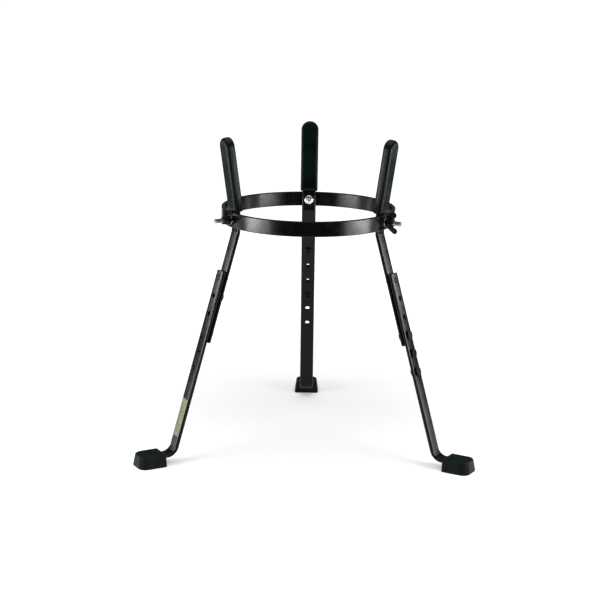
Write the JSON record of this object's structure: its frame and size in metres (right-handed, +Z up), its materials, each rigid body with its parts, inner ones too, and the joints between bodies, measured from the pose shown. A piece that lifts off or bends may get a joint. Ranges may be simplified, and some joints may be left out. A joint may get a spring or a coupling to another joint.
{
  "type": "conga stand",
  "caption": "Conga stand: a flat steel hoop on splayed flat-bar legs, with rubber sleeves that hold the drum, rubber feet, wing nuts and rows of holes that set each leg's length.",
  "frame": {"origin": "on the floor, under the middle of the box round the whole stand", "axes": "+Z up, +Y towards the back leg, -Y towards the open front between the two front legs, +X to the right seen from the front"},
  "size_m": [0.5988, 0.5224, 0.5679],
  "materials": {
    "black_enamel": "gloss black powder coat",
    "sleeve_rubber": "satin moulded rubber",
    "foot_rubber": "satin moulded rubber",
    "bright_chrome": "polished",
    "washer_zinc": "zinc plated",
    "black_zinc": "black zinc plated"
  },
  "bodies": {
    "hoop_frame": {"support_ring": "black_enamel", "back_upper_bar": "black_enamel", "back_support_sleeve": "sleeve_rubber", "back_ring_bolt": "bright_chrome", "back_ring_washer": "washer_zinc", "back_height_bolt_top": "black_zinc", "back_height_bolt_bottom": "black_zinc", "left_upper_bar": "black_enamel", "left_support_sleeve": "sleeve_rubber", "left_ring_bolt": "bright_chrome", "left_ring_washer": "washer_zinc", "left_height_bolt_top": "black_zinc", "left_height_bolt_bottom": "black_zinc", "right_upper_bar": "black_enamel", "right_support_sleeve": "sleeve_rubber", "right_ring_bolt": "bright_chrome", "right_ring_washer": "washer_zinc", "right_height_bolt_top": "black_zinc", "right_height_bolt_bottom": "black_zinc"},
    "back_lower_leg": {"back_lower_bar": "black_enamel", "back_rubber_foot": "foot_rubber"},
    "left_lower_leg": {"left_lower_bar": "black_enamel", "left_rubber_foot": "foot_rubber"},
    "right_lower_leg": {"right_lower_bar": "black_enamel", "right_rubber_foot": "foot_rubber"},
    "back_wing_nut_body": {"back_wing_nut": "black_zinc"},
    "left_wing_nut_body": {"left_wing_nut": "black_zinc"},
    "right_wing_nut_body": {"right_wing_nut": "black_zinc"}
  },
  "joints": [
    {"name": "back_leg_slide", "type": "slide", "parent": "hoop_frame", "child": "back_lower_leg", "axis": [0, 0.289, -0.9573], "range_m": [-0.066, 0.132]},
    {"name": "left_leg_slide", "type": "slide", "parent": "hoop_frame", "child": "left_lower_leg", "axis": [-0.2503, -0.1445, -0.9573], "range_m": [-0.066, 0.132]},
    {"name": "right_leg_slide", "type": "slide", "parent": "hoop_frame", "child": "right_lower_leg", "axis": [0.2503, -0.1445, -0.9573], "range_m": [-0.066, 0.132]},
    {"name": "back_wing_nut_turn", "type": "hinge", "parent": "hoop_frame", "child": "back_wing_nut_body", "pos_m": [0, 0.08027, 0.424], "axis": [0, 1, 0], "continuous": true},
    {"name": "left_wing_nut_turn", "type": "hinge", "parent": "hoop_frame", "child": "left_wing_nut_body", "pos_m": [-0.13614, -0.15554, 0.424], "axis": [-0.866, -0.5, 0], "continuous": true},
    {"name": "right_wing_nut_turn", "type": "hinge", "parent": "hoop_frame", "child": "right_wing_nut_body", "pos_m": [0.13614, -0.15554, 0.424], "axis": [0.866, -0.5, 0], "continuous": true}
  ]
}
